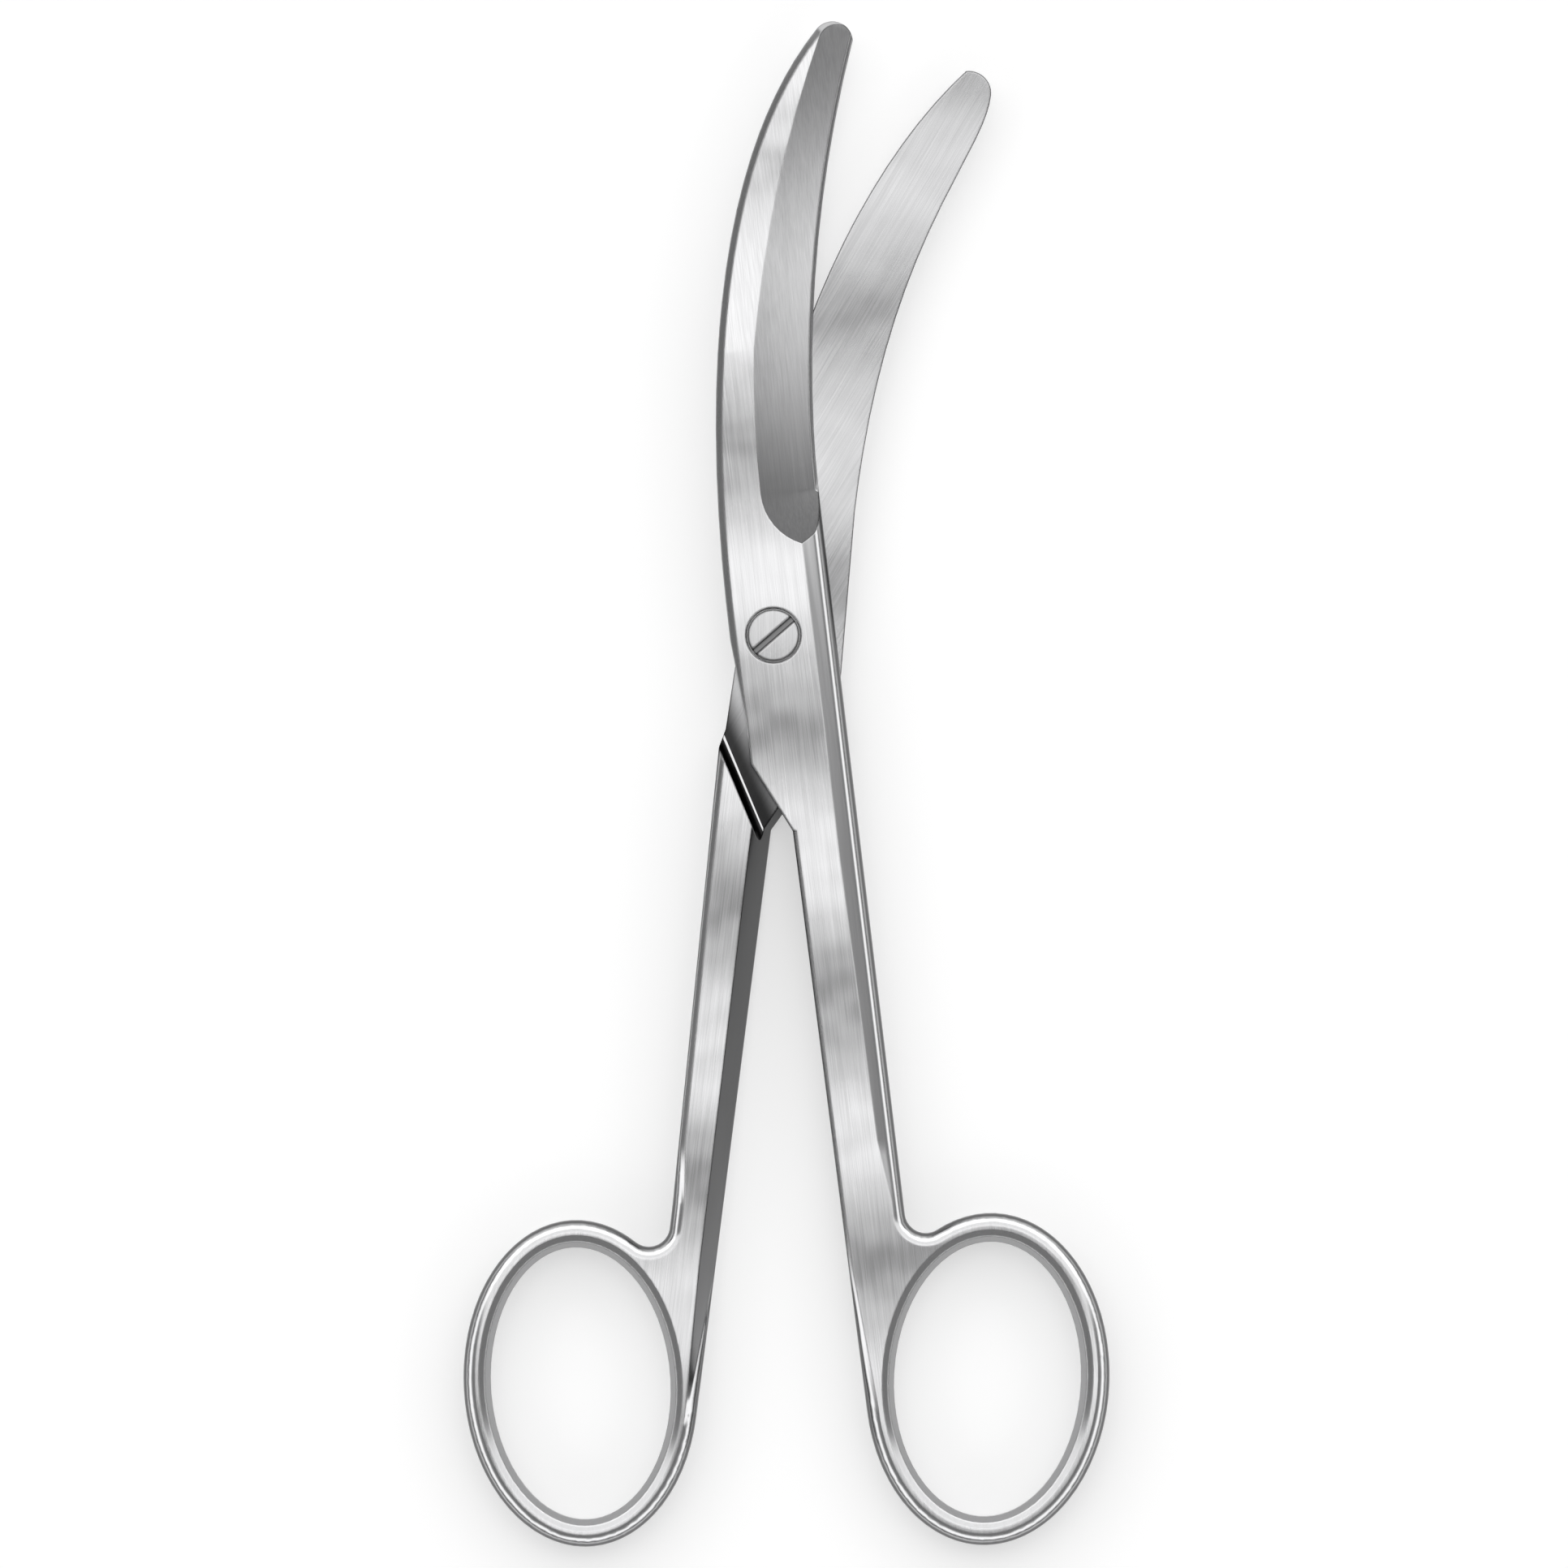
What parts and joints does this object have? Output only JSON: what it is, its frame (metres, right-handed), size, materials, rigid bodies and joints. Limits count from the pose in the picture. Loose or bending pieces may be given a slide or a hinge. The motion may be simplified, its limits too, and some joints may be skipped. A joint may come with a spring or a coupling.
{
  "type": "umbilical cord scissors",
  "caption": "Surgical scissors with blades curved on the flat, blunt rounded tips, long straight shanks, oval finger rings and a slotted screw joint.",
  "frame": {"origin": "where the pivot axis meets the flat outer face the scissors rest on", "axes": "+Y from the pivot towards the blade tips along the middle of the opened blades, +Z along the pivot axis towards the screw head, +X to the side the blades curve towards"},
  "size_m": [0.0677, 0.1599, 0.0046],
  "materials": {
    "half_steel": "satin ground faces, polished bevels",
    "screw_steel": "fine turned and polished"
  },
  "bodies": {
    "rear": {"rear_half": "half_steel", "pivot_screw": "screw_steel"},
    "front": {"front_half": "half_steel"}
  },
  "joints": [
    {"name": "pivot", "type": "hinge", "parent": "rear", "child": "front", "pos_m": [0, 0, 0.0023], "axis": [0, 0, 1], "range_deg": [-10.8, 90]}
  ]
}
